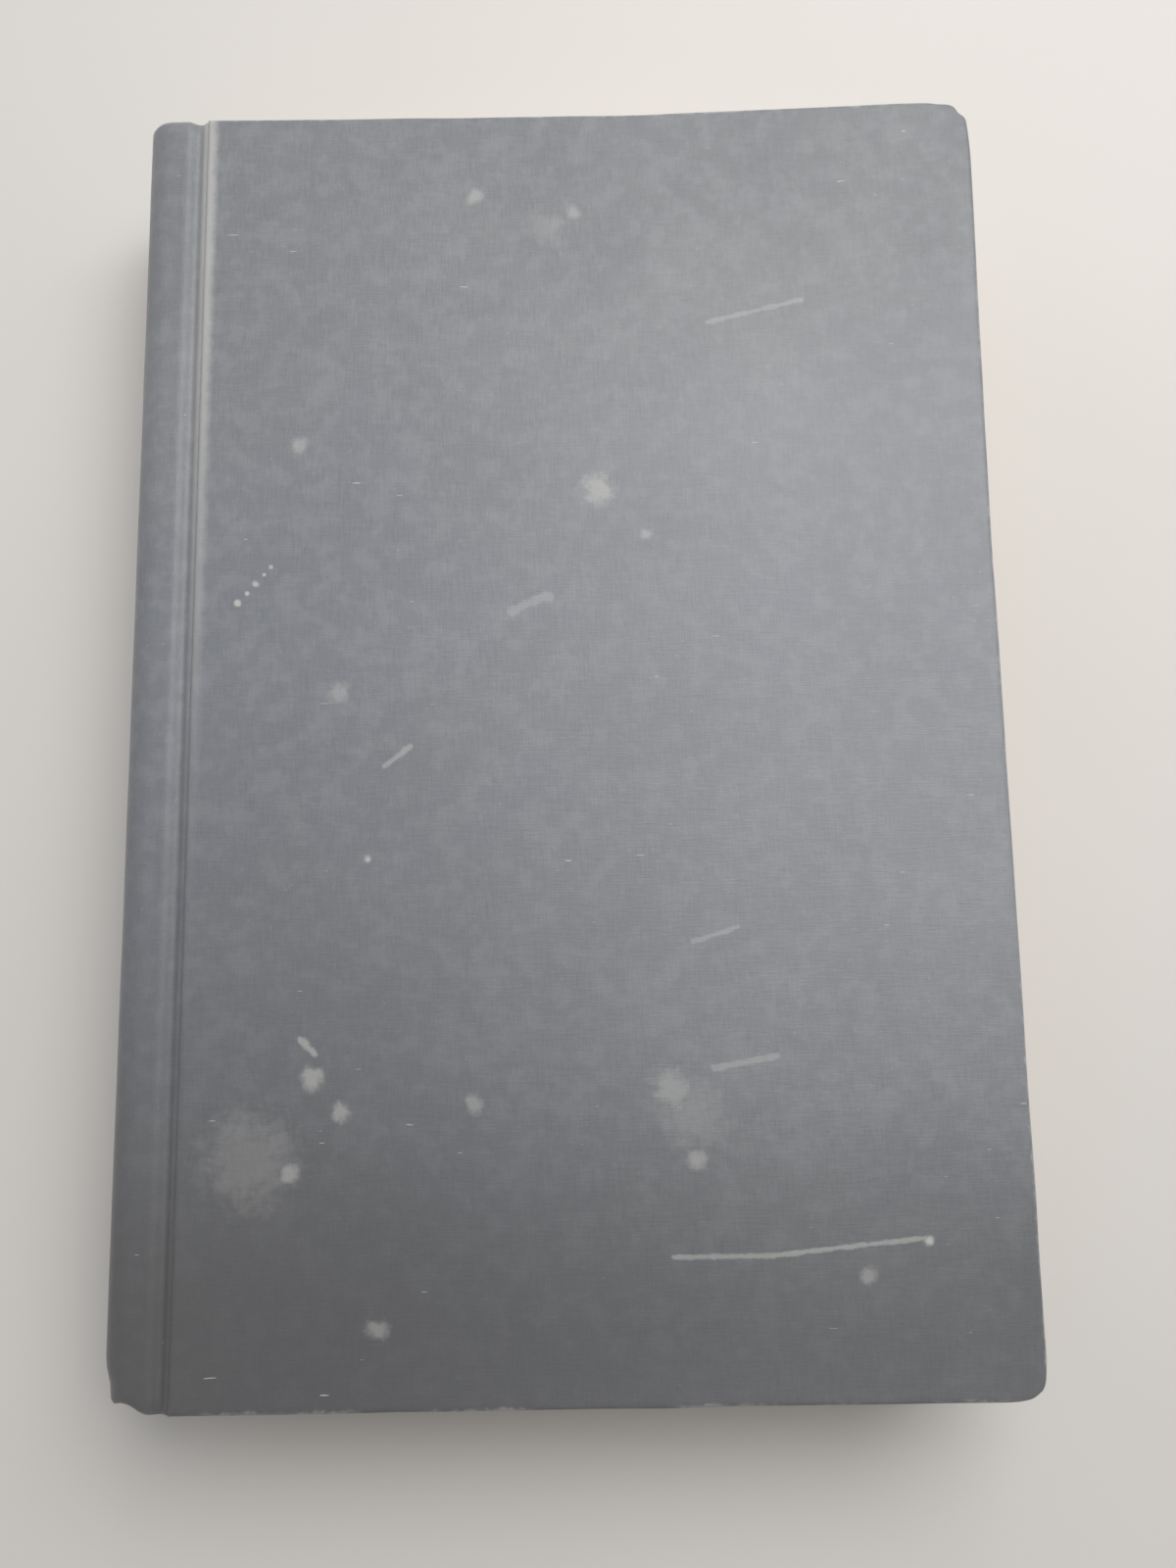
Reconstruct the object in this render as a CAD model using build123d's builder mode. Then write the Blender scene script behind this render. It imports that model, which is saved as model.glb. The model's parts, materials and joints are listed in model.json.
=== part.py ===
from build123d import *
from math import asin, cos, degrees, radians, sin, sqrt
import os

# Hardback book, cloth over boards, lying on its back cover.
# X runs from the spine to the fore edge, Y from tail to head, Z up.
# The origin is the middle of the closed book's footprint. All sizes are in millimetres.

# ---- the case ----
case_height = 240.0  # head to tail, over the cloth
case_width = 163.0  # back of the spine to the fore edge
case_thickness = 36.0  # over both covers
spine_depth = 14.0  # back of the spine to the boards' spine-side edges
cloth_thickness = 0.4
turn_in = 15.0  # cloth folded in round the edges
board_thickness = 2.6
corner_radius = 3.0  # rubbed fore-edge corners of the boards
edge_radius = 0.5  # cloth round the boards' long edges
paper_thickness = 0.2  # endpaper stock
paste_margin = 3.0  # cloth left showing round each pastedown
inlay_thickness = 0.6  # card strip in the back of the case

# ---- the back ----
back_radius = 45.0  # middle of the back
shoulder_radius = 5.2  # the back's rounded shoulders

# ---- the joints between covers and back ----
hinge_offset = 2.0  # hinge line to the board's spine-side edge
hinge_depth = 0.4  # hinge line below the cover's outside
swing_clearance = 0.3  # opened cover over the shoulder
groove_depth = 2.1  # bottom of the pressed groove below the cover's outside
shoulder_start = 3.4  # board's spine-side edge to the near side of the shoulder
seam_gap = 0.3  # between the cover's cloth and the back's cloth at the hinge line

# ---- the text block ----
square = 3.0  # covers beyond the leaves at head and tail
fore_square = 3.5  # covers beyond the leaves at the fore edge
fore_hollow = 4.5  # depth of the fore edge's hollow
leaf_clearance = 0.15  # closed pastedown to flyleaf
fold_depth = 1.5  # endpaper's fold behind the board's spine-side edge
shoulder_run = 2.5  # length of the slope from the flat of the block up to its shoulder
lining_gap = 0.3  # hollow between the case's turn-ins and the block's lining
lining_thickness = 0.2
mull_thickness = 0.25
lining_inset = 1.5  # lining stops short of the block's ends
mull_inset = 12.0  # gauze stops short of the block's ends
band_radius = 1.1  # sewn bands at the ends of the back
band_share = 0.95  # length of a band as a share of the back's middle arc

# ---- places worked out from the sizes ----
back_x = -case_width / 2
fore_x = case_width / 2
edge_x = back_x + spine_depth
hinge_x = edge_x - hinge_offset
middle_z = case_thickness / 2
middle = Plane.XY.offset(middle_z)
section = Plane.XZ

board_height = case_height - 2 * cloth_thickness
board_fore_x = fore_x - cloth_thickness
board_width = board_fore_x - edge_x
board_top = case_thickness - cloth_thickness
board_bottom = board_top - board_thickness
turned_bottom = board_bottom - cloth_thickness
paste_bottom = turned_bottom - paper_thickness
window_fore_x = board_fore_x - turn_in
window_height = board_height - 2 * turn_in
paste_fore_x = fore_x - paste_margin
paste_height = case_height - 2 * paste_margin

leaf_top = paste_bottom - leaf_clearance
block_top = leaf_top - paper_thickness
block_height = case_height - 2 * square
block_fore_x = fore_x - fore_square
fold_x = edge_x - fold_depth

# The back's outside is a wide arc between two shoulder arcs that run smoothly into it.
shoulder_drop = 2 * hinge_depth + swing_clearance
half_back = middle_z - shoulder_drop
tangent_sine = (half_back - shoulder_radius) / (back_radius - shoulder_radius)
tangent_angle = degrees(asin(tangent_sine))
back_centre_x = back_x + back_radius
shoulder_x = back_centre_x - (back_radius - shoulder_radius) * sqrt(1 - tangent_sine**2)
shoulder_rise = (back_radius - shoulder_radius) * tangent_sine

# Depth of each layer of the back below the cloth's outside.
inlay_inside = cloth_thickness + inlay_thickness
turned_inside = inlay_inside + cloth_thickness
lining_outside = turned_inside + lining_gap
mull_outside = lining_outside + lining_thickness
block_outside = mull_outside + mull_thickness


def back_arcs(depth):
    """Draws the round of the back, shoulder to shoulder, at one depth below its outside."""
    shoulder_arc = 90 - tangent_angle
    upper = (shoulder_x, middle_z + shoulder_rise)
    lower = (shoulder_x, middle_z - shoulder_rise)
    CenterArc(upper, shoulder_radius - depth, 90, shoulder_arc)
    CenterArc((back_centre_x, middle_z), back_radius - depth, 180 - tangent_angle, 2 * tangent_angle)
    CenterArc(lower, shoulder_radius - depth, 180 + tangent_angle, shoulder_arc)


def back_layer(outside, inside):
    """Section of one layer that follows the round of the back between two depths."""
    top = case_thickness - shoulder_drop
    with BuildSketch(section) as layer:
        with BuildLine():
            back_arcs(outside)
            back_arcs(inside)
            Line((shoulder_x, top - outside), (shoulder_x, top - inside))
            Line((shoulder_x, case_thickness - top + outside), (shoulder_x, case_thickness - top + inside))
        make_face()
    return layer.sketch


def joint_flaps():
    """Sections of the back's cloth from both shoulders to the hinge lines."""
    top = case_thickness - shoulder_drop
    seam_x = hinge_x - seam_gap / 2
    bottom = case_thickness - groove_depth
    crest_x = edge_x - shoulder_start
    with BuildSketch(section) as flaps:
        with BuildLine():
            Polyline(
                (shoulder_x, top),
                (crest_x, top),
                (seam_x, bottom),
                (seam_x, bottom - cloth_thickness),
                (crest_x, top - cloth_thickness),
                (shoulder_x, top - cloth_thickness),
                close=True,
            )
        make_face()
        mirror(about=Plane((0, middle_z, 0), z_dir=(0, 1, 0)))
    return flaps.sketch


def page_section():
    """Section of the text block: rounded back, low shoulders, flat sides and hollow fore edge."""
    top = case_thickness - shoulder_drop - block_outside
    slope_x = fold_x - shoulder_run
    with BuildSketch(section) as pages:
        with BuildLine():
            back_arcs(block_outside)
            Polyline((shoulder_x, top), (slope_x, top), (fold_x, block_top), (block_fore_x, block_top))
            ThreePointArc(
                (block_fore_x, block_top),
                (block_fore_x - fore_hollow, middle_z),
                (block_fore_x, case_thickness - block_top),
            )
            Polyline(
                (block_fore_x, case_thickness - block_top),
                (fold_x, case_thickness - block_top),
                (slope_x, case_thickness - top),
                (shoulder_x, case_thickness - top),
            )
        make_face()
    return pages.sketch


# ---- front cover ----
with BuildPart() as front_board:
    with BuildSketch(Plane.XY.offset(board_bottom)):
        with Locations((edge_x, 0)):
            Rectangle(board_width, board_height, align=(Align.MIN, Align.CENTER))
    extrude(amount=board_thickness)
    fillet(front_board.edges().filter_by(Axis.Z).group_by(Axis.X)[-1], corner_radius)
front_board.part.label = "front_board"

with BuildPart() as front_cover_cloth:
    with BuildSketch(Plane.XY.offset(turned_bottom)):
        with Locations((edge_x, 0)):
            Rectangle(fore_x - edge_x, case_height, align=(Align.MIN, Align.CENTER))
    extrude(amount=case_thickness - turned_bottom)
    fillet(
        front_cover_cloth.edges().filter_by(Axis.Z).group_by(Axis.X)[-1],
        corner_radius + cloth_thickness,
    )
    rim = front_cover_cloth.faces().filter_by(Axis.Z).sort_by(Axis.Z)[-1].edges()
    fillet(rim.sort_by(Axis.X)[1:], edge_radius)
    add(front_board.part, mode=Mode.SUBTRACT)
    with BuildSketch(Plane.XY.offset(turned_bottom)):
        with Locations((edge_x, 0)):
            Rectangle(window_fore_x - edge_x, window_height, align=(Align.MIN, Align.CENTER))
    extrude(amount=cloth_thickness, mode=Mode.SUBTRACT)
    # the cloth runs down the board's edge to the hinge line
    with BuildSketch(section):
        with BuildLine():
            Polyline(
                (edge_x, case_thickness),
                (hinge_x + seam_gap / 2, case_thickness - groove_depth),
                (hinge_x + seam_gap / 2, case_thickness - groove_depth - cloth_thickness),
                (edge_x, board_top - cloth_thickness),
                close=True,
            )
        make_face()
    extrude(amount=case_height / 2, both=True)
front_cover_cloth.part.label = "front_cover_cloth"

with BuildPart() as front_pastedown:
    with BuildSketch(Plane.XY.offset(paste_bottom)):
        with Locations((edge_x, 0)):
            Rectangle(paste_fore_x - edge_x, paste_height, align=(Align.MIN, Align.CENTER))
    extrude(amount=paper_thickness)
    # inside the turn-ins the paper sinks onto the bare board
    with BuildSketch(Plane.XY.offset(paste_bottom)):
        with Locations((edge_x, 0)):
            Rectangle(window_fore_x - edge_x, window_height, align=(Align.MIN, Align.CENTER))
    extrude(amount=board_bottom - paste_bottom)
    with BuildSketch(Plane.XY.offset(paste_bottom)):
        with Locations((edge_x, 0)):
            Rectangle(
                window_fore_x - paper_thickness - edge_x,
                window_height - 2 * paper_thickness,
                align=(Align.MIN, Align.CENTER),
            )
    extrude(amount=cloth_thickness, mode=Mode.SUBTRACT)
front_pastedown.part.label = "front_pastedown"

# ---- back cover, the front one turned over the middle of the book ----
with BuildPart() as back_board:
    mirror(front_board.part, about=middle)
back_board.part.label = "back_board"

with BuildPart() as back_cover_cloth:
    mirror(front_cover_cloth.part, about=middle)
back_cover_cloth.part.label = "back_cover_cloth"

with BuildPart() as back_pastedown:
    mirror(front_pastedown.part, about=middle)
back_pastedown.part.label = "back_pastedown"

# ---- back of the case ----
with BuildPart() as spine_inlay:
    extrude(back_layer(cloth_thickness, inlay_inside), amount=board_height / 2, both=True)
spine_inlay.part.label = "spine_inlay"

with BuildPart() as spine_cloth:
    head = Location((0, case_height / 2, 0))
    extrude(back_layer(0, cloth_thickness), amount=case_height / 2, both=True)
    extrude(joint_flaps(), amount=case_height / 2, both=True)
    # folded in over the inlay at the head, then the same at the tail
    extrude(back_layer(0, turned_inside).moved(head), amount=cloth_thickness)
    extrude(back_layer(inlay_inside, turned_inside).moved(head), amount=turn_in)
    mirror(about=Plane.XZ)
spine_cloth.part.label = "spine_cloth"

# ---- text block ----
with BuildPart() as text_block:
    extrude(page_section(), amount=block_height / 2, both=True)
text_block.part.label = "text_block"

with BuildPart() as front_flyleaf:
    with BuildSketch(Plane.XY.offset(block_top)):
        with Locations((fold_x, 0)):
            Rectangle(block_fore_x - fold_x, block_height, align=(Align.MIN, Align.CENTER))
    extrude(amount=paper_thickness)
front_flyleaf.part.label = "front_flyleaf"

with BuildPart() as back_flyleaf:
    mirror(front_flyleaf.part, about=middle)
back_flyleaf.part.label = "back_flyleaf"

with BuildPart() as spine_mull:
    extrude(back_layer(mull_outside, block_outside), amount=block_height / 2 - mull_inset, both=True)
spine_mull.part.label = "spine_mull"

with BuildPart() as spine_lining:
    extrude(back_layer(lining_outside, mull_outside), amount=block_height / 2 - lining_inset, both=True)
spine_lining.part.label = "spine_lining"

band_angle = band_share * tangent_angle
band_x = back_radius - block_outside - band_radius
band_run = cos(radians(band_angle))
band_rise = sin(radians(band_angle))
back_axis = Axis((back_centre_x, 0, middle_z), (0, 1, 0))
band_plane = Plane(
    origin=(back_centre_x, block_height / 2, middle_z),
    x_dir=(-band_run, 0, band_rise),
    z_dir=(-band_rise, 0, -band_run),
)
with BuildPart() as head_band:
    # a half-round bead that stands on the end of the leaves
    with BuildSketch(band_plane):
        with Locations((band_x, 0)):
            Circle(band_radius)
            Rectangle(
                2 * band_radius,
                band_radius,
                align=(Align.CENTER, Align.MAX),
                mode=Mode.SUBTRACT,
            )
    revolve(axis=back_axis, revolution_arc=-2 * band_angle)
head_band.part.label = "head_band"

with BuildPart() as tail_band:
    mirror(head_band.part, about=Plane.XZ)
tail_band.part.label = "tail_band"

pieces = (
    front_board,
    front_cover_cloth,
    front_pastedown,
    back_board,
    back_cover_cloth,
    back_pastedown,
    spine_inlay,
    spine_cloth,
    text_block,
    front_flyleaf,
    back_flyleaf,
    spine_mull,
    spine_lining,
    head_band,
    tail_band,
)
os.makedirs("parts", exist_ok=True)
for piece in pieces:
    export_step(piece.part, f"parts/{piece.part.label}.step")
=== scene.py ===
import json
import math

import bmesh
import bpy
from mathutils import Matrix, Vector, noise


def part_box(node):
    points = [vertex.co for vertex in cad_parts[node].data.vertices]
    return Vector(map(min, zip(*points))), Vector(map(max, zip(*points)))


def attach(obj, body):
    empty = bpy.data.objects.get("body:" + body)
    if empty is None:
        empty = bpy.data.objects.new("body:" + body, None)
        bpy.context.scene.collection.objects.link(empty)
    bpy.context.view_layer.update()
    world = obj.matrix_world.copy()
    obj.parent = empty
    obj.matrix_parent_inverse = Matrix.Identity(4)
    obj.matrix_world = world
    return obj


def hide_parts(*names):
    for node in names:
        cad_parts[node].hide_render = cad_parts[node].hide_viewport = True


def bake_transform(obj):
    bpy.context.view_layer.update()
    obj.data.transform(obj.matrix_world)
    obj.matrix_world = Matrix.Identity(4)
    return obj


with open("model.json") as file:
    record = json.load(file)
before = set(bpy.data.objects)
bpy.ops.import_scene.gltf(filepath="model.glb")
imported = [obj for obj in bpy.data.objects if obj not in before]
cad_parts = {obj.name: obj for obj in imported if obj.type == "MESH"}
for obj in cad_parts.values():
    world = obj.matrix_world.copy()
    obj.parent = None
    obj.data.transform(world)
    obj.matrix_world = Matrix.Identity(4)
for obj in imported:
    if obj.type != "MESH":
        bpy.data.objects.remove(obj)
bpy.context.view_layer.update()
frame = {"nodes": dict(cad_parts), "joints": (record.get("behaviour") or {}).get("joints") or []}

bpy.ops.object.select_all(action="DESELECT")

# A cloth-bound hardback that lies closed on its back cover, spine towards -X, head towards +Y.
# Everything is in metres, in the row frame.
MM = 0.001
TINY = 1e-6  # closer than this is the same place

# ---- places read from the frame ----
BOARD_LOW, BOARD_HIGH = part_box("front_board")
CLOTH_LOW, CLOTH_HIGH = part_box("front_cover_cloth")
BACK_LOW, BACK_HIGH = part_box("back_cover_cloth")
SPINE_LOW, SPINE_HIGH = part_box("spine_cloth")
PASTE_LOW, PASTE_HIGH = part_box("front_pastedown")
LEAF_LOW, LEAF_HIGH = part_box("front_flyleaf")
BLOCK_LOW, BLOCK_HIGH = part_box("text_block")
BAND_LOW, BAND_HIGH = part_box("head_band")
HINGE = {j["name"]: Vector(j["pos_m"]) for j in frame["joints"]}["front_cover_hinge"]

EDGE_X = BOARD_LOW.x  # spine-side edge of the boards
FORE_X = CLOTH_HIGH.x
HEAD_Y = CLOTH_HIGH.y
TOP_Z = CLOTH_HIGH.z  # outside of the front cover
MIDDLE_Z = TOP_Z / 2
CLOTH = TOP_Z - BOARD_HIGH.z
TURNED_Z = CLOTH_LOW.z  # underside of the turned-in cloth
COVER_WIDTH = FORE_X - EDGE_X

# ---- sizes that the case was drawn with ----
BACK_RADIUS = 45 * MM
SHOULDER_RADIUS = 5.2 * MM
SHOULDER_START = 3.4 * MM
GROOVE_DEPTH = 2.1 * MM
TURN_IN = 15 * MM
CORNER = 3.4 * MM
CLOTH_EDGE = 0.9 * MM
SHEET = 0.35 * MM  # cloth as modelled, a little under the cloth's own thickness
PAPER = 0.15 * MM
SHOULDER_Z = SPINE_HIGH.z
HALF_BACK = SHOULDER_Z - MIDDLE_Z


def smooth(low, high, value):
    """0 below low, 1 above high and an even S between them."""
    t = min(1.0, max(0.0, (value - low) / (high - low)))
    return t * t * (3 - 2 * t)


def ripple(x, y, z, size):
    """Gentle unevenness between about -1 and 1 with features of one size."""
    return noise.noise(Vector((x, y, z)) / size)


# ---- mesh helpers ----
def select_only(piece):
    bpy.ops.object.select_all(action="DESELECT")
    piece.select_set(True)
    bpy.context.view_layer.objects.active = piece


def start_edit(piece):
    select_only(piece)
    bpy.ops.object.mode_set(mode="EDIT")
    bpy.ops.mesh.select_all(action="DESELECT")


def end_edit():
    bpy.ops.object.mode_set(mode="OBJECT")
    bpy.ops.object.select_all(action="DESELECT")


def face_outward(piece):
    """Turns every normal outward, in edit mode."""
    bpy.ops.mesh.select_all(action="SELECT")
    bpy.ops.mesh.normals_make_consistent(inside=False)


def pick(piece, kind, wanted):
    """Selects the faces or edges whose own test passes, in edit mode."""
    bpy.ops.mesh.select_mode(type="FACE" if kind == "faces" else "EDGE")
    bpy.ops.mesh.select_all(action="DESELECT")
    shape = bmesh.from_edit_mesh(piece.data)
    for element in getattr(shape, kind):
        element.select_set(bool(wanted(element)))
    bmesh.update_edit_mesh(piece.data)


def box_piece(name, low, high):
    """A box between two corners, as a start, with its place in its mesh."""
    bpy.ops.mesh.primitive_cube_add(size=1, location=(low + high) / 2)
    piece = bpy.context.object
    piece.name = name
    piece.scale = high - low
    bpy.ops.object.transform_apply(location=True, rotation=True, scale=True)
    return piece


def grid_piece(name, across, along, place):
    """A sheet of across by along cells, each corner put where place(u, v) says."""
    bpy.ops.mesh.primitive_grid_add(x_subdivisions=across, y_subdivisions=along, size=1)
    piece = bpy.context.object
    piece.name = name
    for vertex in piece.data.vertices:
        vertex.co = place(vertex.co.x + 0.5, vertex.co.y + 0.5)
    return piece


def thicken(piece, thickness, offset):
    """Gives a sheet its thickness, its outside facing out."""
    select_only(piece)
    wall = piece.modifiers.new("thickness", "SOLIDIFY")
    wall.thickness = thickness
    wall.offset = offset
    wall.use_quality_normals = True
    bpy.ops.object.modifier_apply(modifier=wall.name)
    start_edit(piece)
    face_outward(piece)
    end_edit()


def smooth_faces(piece, angle):
    """Smooth shading, with a crease wherever faces meet at more than an angle in degrees."""
    select_only(piece)
    bpy.ops.object.shade_smooth_by_angle(angle=math.radians(angle))
    piece.select_set(False)


def cuts(low, high, fine, coarse, reach):
    """Places of the cuts between two ends: fine near the ends and coarse in the middle."""
    places = []
    at = low + fine
    while at < high - fine / 2:
        places.append(at)
        near = min(at - low, high - at)
        at += fine if near < reach else coarse
    return places


# ---- how the covers have changed with use ----
CORNER_LIFT = 2.3 * MM
HEAD_SAG = 0.35 * MM
WORN_RIM = 6 * MM  # how far in from an edge it has lost its straightness
# Knocked fore-edge corners: head (1) or tail (-1), reach and push.
KNOCKS = ((1, 11 * MM, 1.5 * MM), (-1, 8 * MM, 0.8 * MM))


def front_lift(x, y):
    """The front board has drawn up at its head fore-edge corner and sags a little along the head."""
    u = (x - EDGE_X) / COVER_WIDTH
    v = (y + HEAD_Y) / (2 * HEAD_Y)
    corner = CORNER_LIFT * smooth(0.5, 1.05, u) * smooth(0.62, 1.0, v)
    sag = HEAD_SAG * math.sin(math.pi * min(1, max(0, u))) * smooth(0.7, 1.0, v)
    return corner - sag


def knocked(point, up):
    """Moves one point of a cover's cloth as the knocks on its edges and corners have."""
    x, y, z = point
    outer = TOP_Z if up > 0 else 0.0
    surface = 1 - smooth(0, 3.2 * MM, abs(z - outer))
    swell = 0.05 * ripple(x, y, 4.1, 34 * MM) + 0.02 * ripple(x, y, 7.7, 7 * MM)
    z += up * swell * MM * (0.4 + 0.6 * surface)
    # the edges are not quite straight any more
    near_head = smooth(WORN_RIM, 0, HEAD_Y - abs(y))
    near_fore = smooth(WORN_RIM, 0, FORE_X - x)
    y += 0.16 * MM * ripple(x, 0, up * 3, 16 * MM) * near_head
    x += 0.14 * MM * ripple(0, y, up * 5, 19 * MM) * near_fore
    # the corners are pushed in and a little down
    for side, size, push in KNOCKS:
        away = math.hypot(FORE_X - x, HEAD_Y - side * y)
        if away < size:
            share = (1 - away / size) ** 2
            wobble = 1 + 0.5 * ripple(x, y, z, 2.4 * MM)
            x -= push * share * wobble * 0.8
            y -= side * push * share * wobble * 0.8
            z -= up * 0.35 * MM * share * surface
    return Vector((x, y, z))


def cover_slab(name, low, high, up, corner, edge, turned, fine, coarse):
    """Cloth drawn round a board: rounded fore corners, soft edges and the turned-in rim inside."""
    piece = box_piece(name, low, high)
    start_edit(piece)

    def upright(e):
        a, b = (v.co for v in e.verts)
        return abs(a.x - b.x) < TINY and abs(a.y - b.y) < TINY and a.x > 0

    pick(piece, "edges", upright)
    bpy.ops.mesh.bevel(offset=corner, segments=7, affect="EDGES")
    if turned:
        pick(piece, "faces", lambda f: f.normal.z * up < -0.9)
        bpy.ops.mesh.inset(thickness=TURN_IN, use_even_offset=True)
        bpy.ops.mesh.extrude_region_move(TRANSFORM_OT_translate={"value": (0, 0, up * CLOTH)})

    def rim(e):
        a, b = (v.co for v in e.verts)
        level = abs(a.z - b.z) < TINY
        outside = all(
            min(abs(p.x - low.x), abs(p.x - high.x), abs(p.y - low.y), abs(p.y - high.y)) < corner * 0.31
            and (p.z < low.z + TINY or p.z > high.z - TINY)
            for p in (a, b)
        )
        return level and outside

    pick(piece, "edges", rim)
    bpy.ops.mesh.bevel(offset=edge, segments=4, affect="EDGES")
    for axis, start, stop in ((0, low.x, high.x), (1, low.y, high.y)):
        normal = [0, 0, 0]
        normal[axis] = 1
        for at in cuts(start, stop, fine, coarse, 10 * MM):
            place = [0, 0, 0]
            place[axis] = at
            bpy.ops.mesh.select_all(action="SELECT")
            bpy.ops.mesh.bisect(plane_co=place, plane_no=normal)
    end_edit()
    return piece


# ---- section of the back, from the front joint round to the back joint ----
TANGENT_SINE = (HALF_BACK - SHOULDER_RADIUS) / (BACK_RADIUS - SHOULDER_RADIUS)
TANGENT = math.asin(TANGENT_SINE)
BACK_CENTRE = Vector((SPINE_LOW.x + BACK_RADIUS, 0, MIDDLE_Z))
SHOULDER_X = BACK_CENTRE.x - (BACK_RADIUS - SHOULDER_RADIUS) * math.cos(TANGENT)
SHOULDER_RISE = (BACK_RADIUS - SHOULDER_RADIUS) * TANGENT_SINE


def eased(points, steps):
    """Points along a soft curve that passes near each given point."""
    found = []
    full = [points[0], *points, points[-1]]
    for a, b, c, d in zip(full, full[1:], full[2:], full[3:]):
        for i in range(steps):
            t = i / steps
            square = 2 * a - 5 * b + 4 * c - d
            cube = 3 * b - a - 3 * c + d
            found.append(0.5 * (2 * b + (c - a) * t + square * t**2 + cube * t**3))
    found.append(points[-1])
    return found


def joint_line(up):
    """The cloth from inside the cover's edge, through the groove, to the crest of the shoulder."""
    outer = TOP_Z if up > 0 else 0.0

    def at(x, depth):
        return Vector((x, 0, outer - up * depth))

    return eased(
        [
            at(EDGE_X + 1.1 * MM, 1.35 * MM),
            at(EDGE_X - 0.35 * MM, 1.3 * MM),
            at(EDGE_X - 1.2 * MM, GROOVE_DEPTH - 0.15 * MM),
            at(HINGE.x, GROOVE_DEPTH),
            at(HINGE.x - 0.75 * MM, GROOVE_DEPTH - 0.35 * MM),
            at(EDGE_X - SHOULDER_START - 0.4 * MM, TOP_Z - SHOULDER_Z + 0.03 * MM),
            at(EDGE_X - SHOULDER_START - 1.6 * MM, TOP_Z - SHOULDER_Z),
        ],
        5,
    )


def arc(centre, radius, start, stop, count):
    """Points of an arc in the XZ plane, angles measured from +X towards +Z."""
    angles = [start + (stop - start) * i / count for i in range(count + 1)]
    return [centre + radius * Vector((math.cos(a), 0, math.sin(a))) for a in angles]


def round_back():
    """Outside of the back from shoulder to shoulder."""
    upper = Vector((SHOULDER_X, 0, MIDDLE_Z + SHOULDER_RISE))
    lower = Vector((SHOULDER_X, 0, MIDDLE_Z - SHOULDER_RISE))
    return (
        arc(upper, SHOULDER_RADIUS, math.pi / 2, math.pi - TANGENT, 12)
        + arc(BACK_CENTRE, BACK_RADIUS, math.pi - TANGENT, math.pi + TANGENT, 24)[1:]
        + arc(lower, SHOULDER_RADIUS, math.pi + TANGENT, math.pi * 1.5, 12)[1:]
    )


def back_line():
    """The whole outside of the back as one line, front joint to back shoulder."""
    back = round_back()
    crest = Vector((EDGE_X - SHOULDER_START - 0.9 * MM, 0, TOP_Z - SHOULDER_Z))
    return joint_line(1) + back + [(back[-1] + crest) / 2, crest]


def follow(line):
    """Gives place(u): a point on the line, by share of its length, and the direction out of it."""
    runs = [0.0]
    for a, b in zip(line, line[1:]):
        runs.append(runs[-1] + (b - a).length)

    def place(u):
        want = u * runs[-1]
        i = 0
        while i < len(runs) - 2 and runs[i + 1] < want:
            i += 1
        span = max(runs[i + 1] - runs[i], 1e-9)
        point = line[i].lerp(line[i + 1], min(1.0, max(0.0, (want - runs[i]) / span)))
        before, after = line[max(0, i - 1)], line[min(len(line) - 1, i + 2)]
        along = (after - before).normalized()
        return point, Vector((along.z, 0, -along.x))

    return place


# ---- shader helpers ----
class Value:
    """A shader value that can be reckoned with."""

    def __init__(self, finish, socket):
        self.finish, self.socket = finish, socket

    def reckon(self, operation, *others):
        sockets = dict(enumerate((self, *others)))
        node = self.finish.add("ShaderNodeMath", {"operation": operation}, sockets)
        return Value(self.finish, node.outputs[0])

    def __add__(self, other):
        return self.reckon("ADD", other)

    def __sub__(self, other):
        return self.reckon("SUBTRACT", other)

    def __mul__(self, other):
        return self.reckon("MULTIPLY", other)

    def __truediv__(self, other):
        return self.reckon("DIVIDE", other)

    def __rsub__(self, other):
        return (self * -1) + other

    __radd__, __rmul__ = __add__, __mul__

    def larger(self, other):
        return self.reckon("MAXIMUM", other)

    def within_one(self):
        """Held between 0 and 1."""
        return Value(self.finish, self.finish.add("ShaderNodeClamp", {}, {0: self}).outputs[0])

    def step(self, low, high):
        """0 at low, 1 at high and an S between them."""
        node = self.finish.add(
            "ShaderNodeMapRange",
            {"interpolation_type": "SMOOTHSTEP"},
            {"Value": self, "From Min": low, "From Max": high},
        )
        return Value(self.finish, node.outputs["Result"])


class Nodes:
    """A tree of shader nodes, its nodes added by type."""

    def __init__(self, tree):
        self.tree = tree

    def put(self, value, target):
        """Links a value to a socket, or writes a constant on it."""
        value = getattr(value, "socket", value)
        if isinstance(value, bpy.types.NodeSocket):
            self.tree.links.new(value, target)
        else:
            target.default_value = value

    def add(self, kind, settings=None, sockets=None):
        node = self.tree.nodes.new(kind)
        for name, value in (settings or {}).items():
            setattr(node, name, value)
        for name, value in (sockets or {}).items():
            self.put(value, node.inputs[name])
        return node


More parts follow.
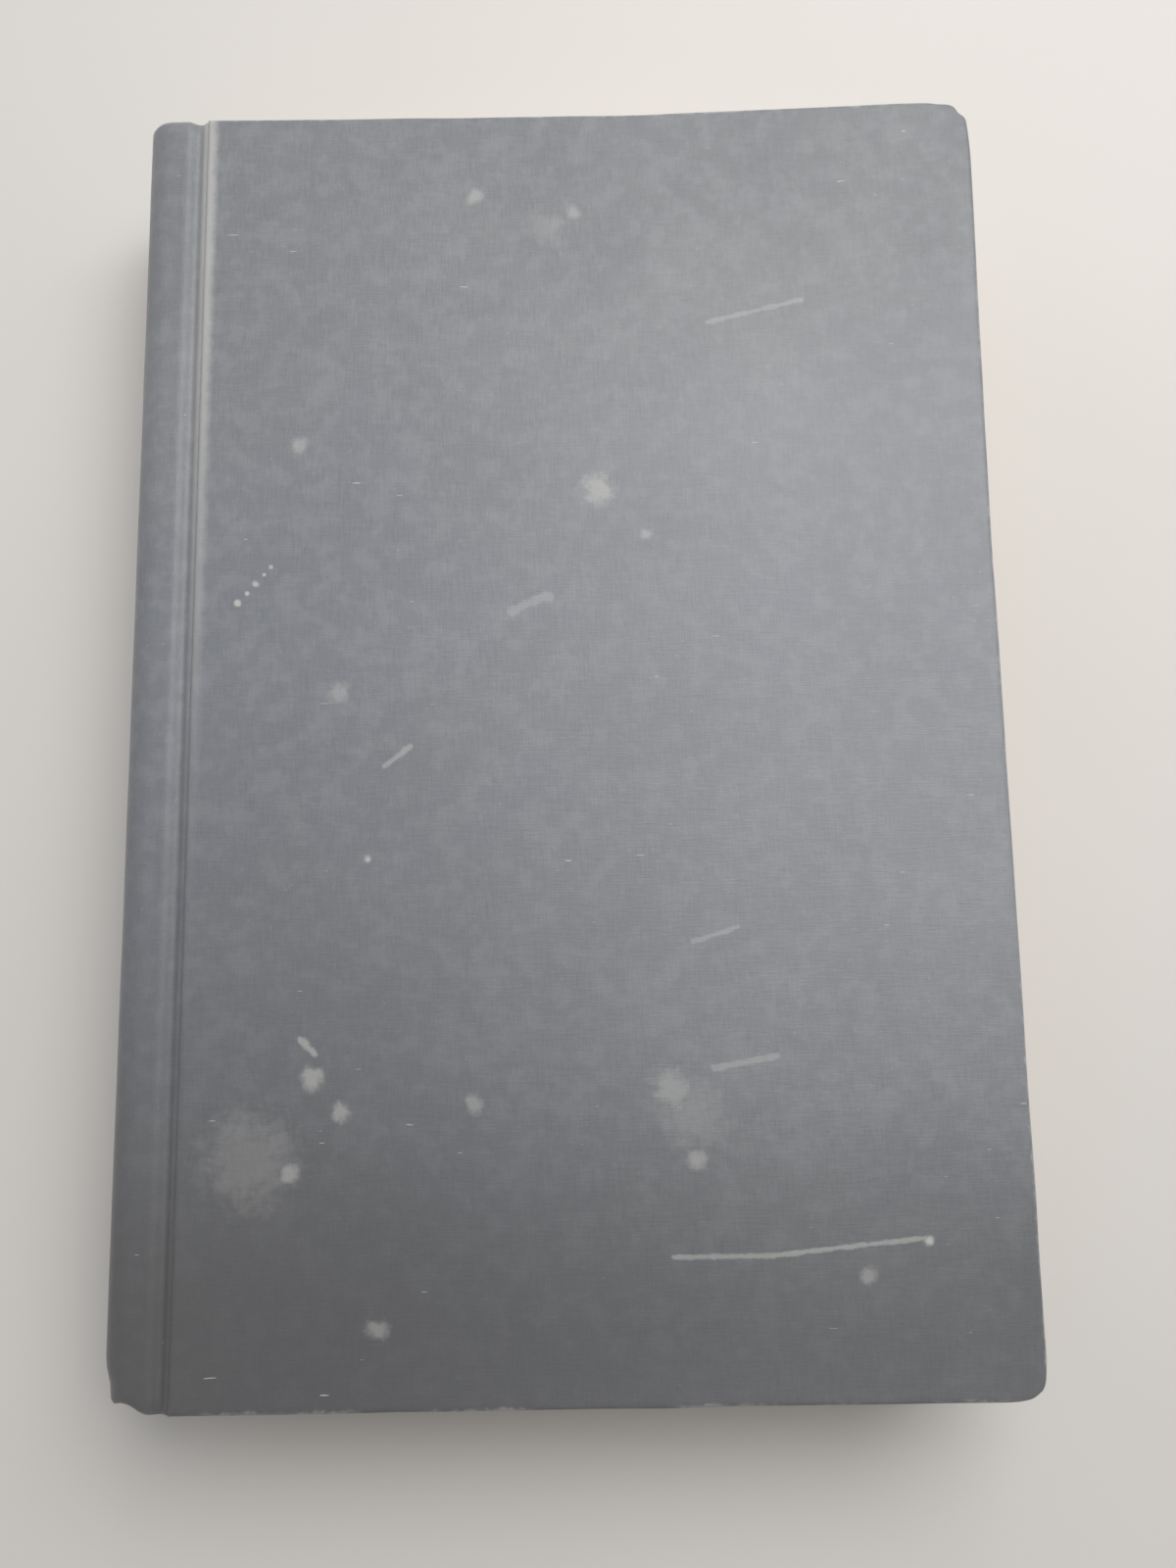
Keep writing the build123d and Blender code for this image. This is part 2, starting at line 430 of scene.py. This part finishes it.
class Finish(Nodes):
    """One material."""

    def __init__(self, name, roughness=0.8, **constants):
        self.material = bpy.data.materials.new(name)
        self.material.use_nodes = True
        super().__init__(self.material.node_tree)
        self.shader = self.tree.nodes["Principled BSDF"]
        self.put(roughness, self.shader.inputs["Roughness"])
        for socket, value in constants.items():
            self.put(value, self.shader.inputs[socket.replace("_", " ")])
        self.place = self.add("ShaderNodeTexCoord").outputs["Object"]
        parts = self.add("ShaderNodeSeparateXYZ", {}, {0: self.place})
        self.x, self.y, self.z = (Value(self, s) for s in parts.outputs)

    def stretched(self, x, y, z):
        """The place with each axis scaled, for patterns longer one way than the other."""
        node = self.add("ShaderNodeMapping", {}, {"Vector": self.place, "Scale": (x, y, z)})
        return node.outputs[0]

    def cloud(self, scale, detail=2.0, rough=0.5, vector=None):
        sockets = {"Scale": scale, "Detail": detail, "Roughness": rough}
        node = self.add("ShaderNodeTexNoise", {}, {"Vector": vector or self.place, **sockets})
        return Value(self, node.outputs["Fac"])

    def mix(self, share, a, b):
        node = self.add("ShaderNodeMix", {"data_type": "RGBA"}, {0: share, 6: a, 7: b})
        return node.outputs[2]

    def wear(self, socket, value):
        self.put(value, self.shader.inputs[socket])

    def relief(self, height, distance, strength=1.0):
        bump = self.add(
            "ShaderNodeBump", {}, {"Strength": strength, "Distance": distance, "Height": height}
        )
        self.put(bump.outputs[0], self.shader.inputs["Normal"])

    def spot(self, x, y, radius, ragged):
        """1 at a place on the cover, falling to 0 at a ragged edge."""
        away = length(self.x - x, self.y - y) + (ragged - 0.5) * radius * 1.4
        return away.step(radius, radius * 0.25)

    def scratch(self, x1, y1, x2, y2, width, ragged):
        """1 on a line between two places, falling to 0 at its ragged edge."""
        dx, dy = x2 - x1, y2 - y1
        along = ((self.x - x1) * dx + (self.y - y1) * dy) * (1 / (dx * dx + dy * dy))
        along = along.within_one()
        away = length(self.x - x1 - along * dx, self.y - y1 - along * dy)
        return (away + (ragged - 0.5) * width * 1.6).step(width, width * 0.3)


def length(x, y):
    return (x * x + y * y).reckon("SQRT")


def colour(red, green, blue):
    """A colour given as it looks, 0 to 255, as the shader wants it."""

    def level(c):
        c /= 255
        return c / 12.92 if c < 0.04045 else ((c + 0.055) / 1.055) ** 2.4

    return (level(red), level(green), level(blue), 1)


def on_cover(across, down):
    """A place on the front cover, in millimetres from its spine-side head corner."""
    return EDGE_X + across * MM, HEAD_Y - down * MM


# Rubbed places on the front cover: across, down, radius in millimetres, and how pale.
RUBS = (
    (8.3, 98.5, 0.9, 0.90),
    (10.2, 96.8, 0.6, 0.90),
    (11.6, 95.0, 0.9, 0.85),
    (13.2, 93.2, 0.5, 0.90),
    (14.4, 91.8, 0.7, 0.80),
    (13.0, 198.0, 11.0, 0.16),
    (90.0, 192.0, 8.0, 0.16),
    (66.0, 24.0, 5.0, 0.18),
    (33.0, 146.5, 0.8, 0.80),
    (130.0, 213.5, 1.3, 0.85),
    (52.6, 17.6, 2.2, 0.45),
    (71.5, 21.0, 2.0, 0.40),
    (19.5, 68.0, 2.2, 0.40),
    (75.5, 77.5, 4.2, 0.55),
    (84.5, 86.5, 1.4, 0.45),
    (27.5, 116.0, 2.6, 0.35),
    (23.5, 184.5, 2.8, 0.50),
    (28.5, 190.5, 2.2, 0.45),
    (20.0, 200.5, 2.2, 0.45),
    (52.0, 189.5, 2.4, 0.35),
    (86.5, 187.5, 4.6, 0.35),
    (90.5, 199.5, 2.4, 0.40),
    (119.5, 219.0, 2.0, 0.35),
    (35.5, 226.5, 2.4, 0.35),
)

# Scratches: across and down at both ends, width in millimetres, and how pale.
SCRATCHES = (
    (97.0, 44.5, 115.0, 40.5, 0.7, 0.35),
    (36.0, 129.5, 40.5, 126.0, 0.7, 0.40),
    (21.5, 178.0, 24.0, 180.5, 0.9, 0.50),
    (86.0, 215.5, 103.0, 215.5, 0.6, 0.40),
    (103.0, 215.5, 129.5, 213.0, 0.6, 0.45),
    (91.0, 162.0, 99.0, 159.5, 0.6, 0.30),
    (94.0, 184.0, 105.0, 182.0, 0.8, 0.30),
    (59.0, 101.0, 66.0, 98.0, 1.2, 0.30),
)


def cover_cloth():
    """Slate book cloth: fine weave, slubs, broad tone changes, a painted sheen across the middle and
    painted shade toward the tail, rubbed edges and pale scuffs.
    """
    f = Finish("book_cloth", 0.5, Sheen_Weight=0.15, Sheen_Roughness=0.4, Specular_IOR_Level=0.5)
    warp = f.cloud(1, 2, 0.6, f.stretched(2600, 340, 340))
    weft = f.cloud(1, 2, 0.6, f.stretched(300, 3600, 3600))
    slub = f.cloud(1, 1, 0.5, f.stretched(1500, 230, 230))
    patch = f.cloud(34, 3, 0.6)
    broad = f.cloud(9, 2, 0.5)
    grain = f.cloud(900, 2, 0.6)
    base = f.mix(broad.step(0.35, 0.65), colour(118, 121, 128), colour(127, 129, 132))
    base = f.mix(patch.step(0.3, 0.75) * 0.55, base, colour(112, 115, 120))
    threads = warp.step(0.3, 0.7) * 0.5 + weft.step(0.3, 0.7) * 0.5
    base = f.mix((1 - threads) * 0.32, base, colour(84, 87, 93))
    base = f.mix(slub.step(0.60, 0.78) * 0.20, base, colour(96, 99, 104))
    base = f.mix(grain.step(0.66, 0.8) * 0.25, base, colour(168, 169, 170))
    mottle = f.cloud(260, 3, 0.6)
    base = f.mix(mottle.step(0.42, 0.68) * 0.22, base, colour(150, 152, 156))

    # painted sheen lighter across the middle of the cover, and painted shade darker and greyer toward the
    # tail and the joint
    painted_shade = colour(70, 69, 69)
    fore = f.x.step(-60 * MM, 60 * MM)
    middle = f.y.step(105 * MM, 45 * MM) * f.y.step(-85 * MM, -30 * MM)
    # painted sheen: lighter band across the middle, strongest toward the fore-edge
    base = f.mix(middle * (0.06 + fore * 0.18), base, colour(160, 162, 167))
    # painted shade: darker toward the tail on the joint side, and across the whole tail
    base = f.mix(f.y.step(20 * MM, -105 * MM) * (1 - fore) * 0.55, base, painted_shade)
    base = f.mix(f.y.step(-60 * MM, -110 * MM) * 0.55, base, painted_shade)

    # rubbing: the strip along the joint, the long edges and the corners
    rag = f.cloud(420, 3, 0.65)
    drift = f.cloud(70, 2, 0.5)
    on_front = f.z.step(TOP_Z - 2.2 * MM, TOP_Z - 0.6 * MM)
    toward_head = f.y.step(-45 * MM, 100 * MM)
    strip = (f.x - EDGE_X).reckon("ABSOLUTE") + (rag - 0.5) * 1.2 * MM
    strip = strip.step(2.9 * MM, 0.9 * MM) * on_front * toward_head
    ends = (HEAD_Y - f.y.reckon("ABSOLUTE")) + (rag - 0.5) * 2.2 * MM
    front = (FORE_X - f.x) + (rag - 0.5) * 1.6 * MM
    edge = ends.step(0.9 * MM, 0.1 * MM).larger(front.step(0.7 * MM, 0.1 * MM))
    rub = (strip * 0.75).larger(edge * drift.step(0.35, 0.6) * 0.5)
    for across, down, radius, pale in RUBS:
        x, y = on_cover(across, down)
        rub = rub.larger(f.spot(x, y, radius * MM, rag) * pale * on_front)
    for left, top, right, bottom, width, pale in SCRATCHES:
        line = on_cover(left, top) + on_cover(right, bottom)
        rub = rub.larger(f.scratch(*line, width * MM, rag) * pale * on_front)
    lint = f.cloud(1, 1, 0.5, f.stretched(210, 1500, 900))
    rub = rub.larger(lint.step(0.80, 0.82) * 0.8)
    base = f.mix(rub, base, colour(186, 185, 182))
    f.wear("Base Color", base)
    f.wear("Roughness", 0.44 + patch * 0.10 + rub * 0.15)
    f.relief(warp * 0.5 + weft * 0.6 + grain * 0.3 + slub * 0.4, 0.12 * MM, 0.55)
    return f.material


def page_paper():
    """Cut edges of the leaves: cream, browned a little, with the fine lines of single leaves."""
    f = Finish("page_edges", 0.85)
    warped = f.z + (f.cloud(26, 2, 0.5) - 0.5) * 1.2 * MM
    across = f.add("ShaderNodeCombineXYZ", {}, {0: f.x * 6, 1: f.y * 6, 2: warped * 5200})
    fine = f.cloud(1, 2, 0.6, across.outputs[0])
    group = f.add("ShaderNodeCombineXYZ", {}, {0: f.x * 2, 1: f.y * 2, 2: warped * 420})
    gather = f.cloud(1, 2, 0.5, group.outputs[0])
    speck = f.cloud(700, 2, 0.6)
    base = f.mix(fine.step(0.3, 0.7), colour(196, 182, 152), colour(228, 217, 192))
    base = f.mix(gather.step(0.55, 0.7) * 0.5, base, colour(186, 170, 138))
    base = f.mix(speck.step(0.64, 0.8) * 0.4, base, colour(160, 140, 108))
    f.wear("Base Color", base)
    f.relief(fine * 0.7 + gather * 0.6, 0.25 * MM, 0.8)
    return f.material


def plain_paper(name, light, dark, fibre=900):
    """Uncoated sheet with faint fibres and a little foxing."""
    f = Finish(name, 0.85)
    cloudy = f.cloud(22, 3, 0.6)
    fibres = f.cloud(fibre, 3, 0.7)
    fox = f.cloud(130, 2, 0.5)
    base = f.mix(cloudy.step(0.3, 0.7), light, dark)
    base = f.mix(fibres.step(0.6, 0.8) * 0.3, base, dark)
    base = f.mix(fox.step(0.72, 0.8) * 0.35, base, colour(176, 142, 98))
    f.wear("Base Color", base)
    f.relief(fibres, 0.06 * MM, 0.5)
    return f.material


def grey_board():
    """Millboard: grey-brown pulp with flecks."""
    f = Finish("greyboard", 0.9)
    fleck = f.cloud(1300, 3, 0.7)
    layer = f.cloud(1, 2, 0.6, f.stretched(150, 150, 2600))
    base = f.mix(fleck.step(0.35, 0.7), colour(168, 158, 140), colour(198, 190, 172))
    base = f.mix(layer.step(0.5, 0.7) * 0.5, base, colour(150, 138, 118))
    f.wear("Base Color", base)
    f.relief(fleck * 0.6 + layer, 0.2 * MM, 0.8)
    return f.material


def gauze():
    """Open starched mull with glue in its mesh."""
    f = Finish("gauze", 0.8)
    rise = (f.z * 6000).reckon("SINE")
    run = (f.y * 6000).reckon("SINE")
    thread = rise.larger(run)
    base = f.mix(thread.step(0.2, 0.8), colour(168, 150, 118), colour(222, 214, 194))
    f.wear("Base Color", base)
    f.relief(thread, 0.15 * MM, 0.9)
    return f.material


def band_silk():
    """Two threads sewn turn about over a cord: cream and slate."""
    f = Finish("band_thread", 0.6, Sheen_Weight=0.2)
    turn = (f.z * 4400).reckon("SINE")
    strand = (f.z * 17600 + f.y * 2500).reckon("SINE")
    base = f.mix(turn.step(-0.08, 0.08), colour(214, 204, 180), colour(98, 106, 120))
    base = f.mix(strand.step(0.2, 1.0) * 0.25, base, colour(60, 60, 62))
    f.wear("Base Color", base)
    f.relief(strand, 0.08 * MM, 0.8)
    return f.material


CLOTH_FINISH = cover_cloth()
PAGES = page_paper()
ENDPAPER = plain_paper("endpaper", colour(226, 216, 192), colour(212, 199, 170))
LINING = plain_paper("lining_paper", colour(176, 154, 118), colour(158, 134, 98))
BOARD = grey_board()
GAUZE = gauze()
SILK = band_silk()


def paint(piece, material):
    piece.data.materials.clear()
    piece.data.materials.append(material)


def dress(piece, material, angle=40):
    paint(piece, material)
    smooth_faces(piece, angle)


# ---- covers ----
def make_covers():
    for side, up, low, high in (
        ("front", 1, Vector((EDGE_X, CLOTH_LOW.y, TURNED_Z)), CLOTH_HIGH),
        ("back", -1, Vector((EDGE_X, BACK_LOW.y, BACK_LOW.z)), BACK_HIGH),
    ):
        cloth = cover_slab(
            f"{side}_case_cloth", low, high, up,
            corner=CORNER, edge=CLOTH_EDGE, turned=True, fine=0.7 * MM, coarse=2.8 * MM,
        )
        for vertex in cloth.data.vertices:
            lift = front_lift(vertex.co.x, vertex.co.y) if up > 0 else 0
            vertex.co = knocked(vertex.co, up) + Vector((0, 0, lift))
        dress(cloth, CLOTH_FINISH)
        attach(cloth, f"{side}_cover")
        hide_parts(f"{side}_cover_cloth")
    # a little thinner than the board as built, to stay clear of the cloth's dents
    low, high = BOARD_LOW + Vector((0, 0, 0.02 * MM)), BOARD_HIGH - Vector((0, 0, 0.25 * MM))
    board = cover_slab(
        "front_millboard", low, high, 1,
        corner=3 * MM, edge=0.3 * MM, turned=False, fine=2 * MM, coarse=8 * MM,
    )
    for vertex in board.data.vertices:
        vertex.co = knocked(vertex.co, 1) + Vector((0, 0, front_lift(vertex.co.x, vertex.co.y)))
    dress(board, BOARD)
    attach(board, "front_cover")
    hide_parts("front_board")


# ---- cloth of the back and joints ----
def end_fold(v):
    """(y, depth below the outside) along the length: plain, then folded in at head and tail."""
    inside, turn, reach = 0.04, 0.03, 12 * MM
    half = 0.7 * MM
    side = 1 if v > 0.5 else -1
    t = min(v, 1 - v)
    if t < inside:
        return side * (HEAD_Y - half - reach * (1 - t / inside)), 2 * half
    if t < inside + turn:
        angle = math.pi * (t - inside) / turn
        return side * (HEAD_Y - half + half * math.sin(angle)), half * (1 + math.cos(angle))
    share = (t - inside - turn) / (0.5 - inside - turn)
    return side * (HEAD_Y - half) * (1 - share), 0.0


def tail_crush(point):
    """The tail of the back has been pushed up and flattened by standing on it."""
    near = smooth(9 * MM, 0, point.y + HEAD_Y)
    out = smooth(EDGE_X - 2 * MM, EDGE_X - 9 * MM, point.x)
    crease = ripple(point.x, point.y * 2, point.z, 5 * MM)
    return point + Vector((0.9 * MM, (1.6 + 1.3 * crease) * MM, -0.5 * MM)) * out * near


def blend_joint(piece, outer):
    """Bakes a strip of cloth across the groove into its mesh, where it stands."""
    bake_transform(piece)


def make_back():
    """Cloth from the front groove round the back to the back shoulder."""
    place = follow(back_line())

    def on_back(u, v):
        y, depth = end_fold(v)
        point, outward = place(u)
        point = point + outward * (0.05 * MM * ripple(u * 9 * MM, y, 1.3, 12 * MM) - depth)
        return tail_crush(Vector((point.x, y, point.z)))

    back = grid_piece("spine_case_cloth", 90, 130, on_back)
    thicken(back, SHEET, -1)
    dress(back, CLOTH_FINISH, 50)
    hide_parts("spine_cloth")
    blend_joint(back, TOP_Z)


def make_card():
    """Card inside the back, which follows the crushed tail."""
    _, inlay_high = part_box("spine_inlay")
    place = follow(round_back())

    def on_card(u, v):
        point, outward = place(u)
        point = point - outward * (CLOTH + 0.05 * MM)
        return tail_crush(Vector((point.x, (2 * v - 1) * inlay_high.y, point.z)))

    card = grid_piece("spine_card", 48, 90, on_card)
    thicken(card, 0.5 * MM, -1)
    dress(card, BOARD, 50)
    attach(card, "block")
    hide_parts("spine_inlay")


def make_back_joint():
    """The groove's cloth on the underside."""
    place = follow(joint_line(-1))

    def under(u, v):
        point, _ = place(u)
        return Vector((point.x, (2 * v - 1) * (HEAD_Y - 0.1 * MM), point.z + 0.02 * MM))

    joint = grid_piece("back_joint_cloth", 30, 40, under)
    thicken(joint, SHEET, 1)
    dress(joint, CLOTH_FINISH, 50)
    blend_joint(joint, 0)


# ---- endpapers ----
def make_endpapers():
    """Each side: the leaf pasted to the board, the free leaf, and the fold that joins them."""
    for side, up in (("front", 1), ("back", -1)):
        outer = TOP_Z if up > 0 else 0.0
        paste = TOP_Z - PASTE_LOW.z - PAPER / 2
        leaf = TOP_Z - LEAF_LOW.z - PAPER / 2
        sink = CLOTH - 0.1 * MM
        window_x = FORE_X - CLOTH - TURN_IN
        window_y = HEAD_Y - CLOTH - TURN_IN
        step = 1.2 * MM

        def pasted(u, v):
            x = EDGE_X + (PASTE_HIGH.x - EDGE_X) * u
            y = (2 * v - 1) * PASTE_HIGH.y
            inside = smooth(0, step, window_x - x) * smooth(0, step, window_y - abs(y))
            inside *= smooth(0, step, x - EDGE_X - TURN_IN)
            lift = front_lift(x, y) if up > 0 else 0
            return Vector((x, y, outer - up * (paste - sink * inside) + lift))

        def free(u, v):
            x = EDGE_X + (LEAF_HIGH.x - EDGE_X) * u
            y = (2 * v - 1) * LEAF_HIGH.y
            return Vector((x, y, outer - up * (leaf + 0.02 * MM * ripple(x, y, 2.2, 40 * MM))))

        overlap = 4 * MM
        fold_x = LEAF_LOW.x

        def fold(u, v):
            y = (2 * v - 1) * (LEAF_HIGH.y - 0.05 * MM)
            if u < 0.25:
                x, depth = EDGE_X + overlap * (1 - u / 0.25), paste - 0.02 * MM
            elif u > 0.75:
                x, depth = EDGE_X + overlap * (u - 0.75) / 0.25, leaf - 0.02 * MM
            else:
                turn = (u - 0.25) / 0.5
                x = EDGE_X + (fold_x - EDGE_X) * math.sin(math.pi * turn)
                depth = paste + (leaf - paste) * turn
            return Vector((x, y, outer - up * depth))

        sheets = (
            (f"{side}_pasted_leaf", pasted, f"{side}_cover", f"{side}_pastedown"),
            (f"{side}_free_leaf", free, "block", f"{side}_flyleaf"),
        )
        for name, place, body, node in sheets:
            paper = grid_piece(name, 60, 90, place)
            thicken(paper, PAPER, 0)
            dress(paper, ENDPAPER, 50)
            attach(paper, body)
            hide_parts(node)
        hinge_paper = grid_piece(f"{side}_endpaper_fold", 40, 60, fold)
        thicken(hinge_paper, PAPER * 0.6, 0)
        dress(hinge_paper, ENDPAPER, 60)
        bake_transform(hinge_paper)


# ---- sewn bands ----
def make_bands():
    """A sewn bead across each end of the block's back."""
    half_band = 1.1 * MM
    middle_radius = BACK_RADIUS - (BAND_LOW.x - SPINE_LOW.x) - half_band
    half_angle = math.asin((BAND_HIGH.z - MIDDLE_Z) / (middle_radius + half_band))
    for name, side in (("head_band", 1), ("tail_band", -1)):

        def bead(u, v, side=side):
            angle = math.pi + half_angle * (2 * u - 1)
            turn = math.tau * v
            thick = 0.95 * MM + 0.1 * MM * math.sin(u * 190)
            radius = middle_radius + thick * math.cos(turn)
            rise = 0.85 * MM + thick * math.sin(turn) * 0.9
            x = BACK_CENTRE.x + radius * math.cos(angle)
            return Vector((x, side * (BLOCK_HIGH.y + rise), MIDDLE_Z + radius * math.sin(angle)))

        band = grid_piece(f"sewn_{name}", 160, 12, bead)
        start_edit(band)
        bpy.ops.mesh.select_all(action="SELECT")
        bpy.ops.mesh.remove_doubles(threshold=TINY)
        bpy.ops.mesh.select_all(action="DESELECT")
        bpy.ops.mesh.select_non_manifold()
        bpy.ops.mesh.fill_holes(sides=0)
        face_outward(band)
        end_edit()
        dress(band, SILK, 60)
        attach(band, "block")
        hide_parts(name)


def dress_frame():
    """Finishes for the pieces that stay as they were built."""
    for node, material in (
        ("text_block", PAGES),
        ("spine_mull", GAUZE),
        ("spine_lining", LINING),
        ("back_board", BOARD),
    ):
        paint(frame["nodes"][node], material)


# ---- floor, light and camera ----
ROOM = (0.80, 0.79, 0.78, 1)


def seen_background(tree):
    """1 for the rays that show the background: the camera's and those through gloss or glass."""
    path = tree.add("ShaderNodeLightPath")
    seen = Value(tree, path.outputs["Is Camera Ray"])
    for ray in ("Is Glossy Ray", "Is Transmission Ray"):
        seen = seen.larger(Value(tree, path.outputs[ray]))
    return seen


def make_floor():
    """A pale floor, which runs into the pale room far from the book."""
    bpy.ops.mesh.primitive_plane_add(size=6, location=(0, 0, -0.05 * MM))
    floor = bpy.context.object
    floor.name = "floor"
    f = Finish("floor_paper", 0.9)
    f.wear("Base Color", f.mix(f.cloud(6, 2, 0.5), colour(214, 210, 205), colour(220, 216, 212)))
    far = length(f.x, f.y).step(0.30, 1.1) * seen_background(f)
    glow = f.add("ShaderNodeEmission", {}, {"Color": ROOM, "Strength": 1.0})
    both = f.add("ShaderNodeMixShader", {}, {0: far, 1: f.shader.outputs[0], 2: glow.outputs[0]})
    f.put(both.outputs[0], f.tree.nodes["Material Output"].inputs["Surface"])
    floor.data.materials.append(f.material)


def make_light():
    """A soft room, brighter beyond the head, and one large lamp high on that side."""
    world = bpy.data.worlds.new("soft_room")
    bpy.context.scene.world = world
    world.use_nodes = True
    room = Nodes(world.node_tree)
    lit = room.tree.nodes["Background"]
    where = room.add("ShaderNodeTexCoord")
    split = room.add("ShaderNodeSeparateXYZ", {}, {0: where.outputs["Generated"]})
    ramp = room.add(
        "ShaderNodeMapRange",
        {"interpolation_type": "SMOOTHSTEP"},
        {"Value": split.outputs["Y"], "From Min": -0.35, "From Max": 0.35, "To Min": 0.20, "To Max": 0.62},
    )
    room.put(ramp.outputs[0], lit.inputs["Strength"])
    room.put((0.95, 0.97, 1.0, 1), lit.inputs["Color"])
    pale = room.add("ShaderNodeBackground", {}, {"Color": ROOM})
    share = seen_background(room)
    mix = room.add("ShaderNodeMixShader", {}, {0: share, 1: lit.outputs[0], 2: pale.outputs[0]})
    room.put(mix.outputs[0], room.tree.nodes["World Output"].inputs["Surface"])

    window = bpy.data.lights.new("window", "AREA")
    window.shape = "RECTANGLE"
    window.size, window.size_y = 0.55, 0.45
    window.energy = 4.1
    window.color = (1.0, 0.985, 0.96)
    lamp = bpy.data.objects.new("window", window)
    bpy.context.scene.collection.objects.link(lamp)
    lamp.location = (0.20, 0.30, 0.62)
    aim = Vector((0.0, -0.02, 0.0)) - lamp.location
    lamp.rotation_euler = aim.to_track_quat("-Z", "Y").to_euler()


def make_camera():
    """A 27 mm lens held over the cover, tipped 8 degrees towards the head."""
    lens = bpy.data.cameras.new("camera")
    lens.sensor_fit = "VERTICAL"
    lens.sensor_height = 36
    lens.lens = 27
    lens.clip_start = 0.01
    camera = bpy.data.objects.new("camera", lens)
    bpy.context.scene.collection.objects.link(camera)
    camera.location = (4.83 * MM, -43.16 * MM, 246.73 * MM)
    camera.rotation_euler = (math.radians(8.031), math.radians(0.028), math.radians(-0.925))
    bpy.context.scene.camera = camera


make_camera()
make_covers()
make_back()
make_card()
make_back_joint()
make_endpapers()
make_bands()
dress_frame()
make_floor()
make_light()
bpy.context.scene.view_settings.view_transform = "Standard"
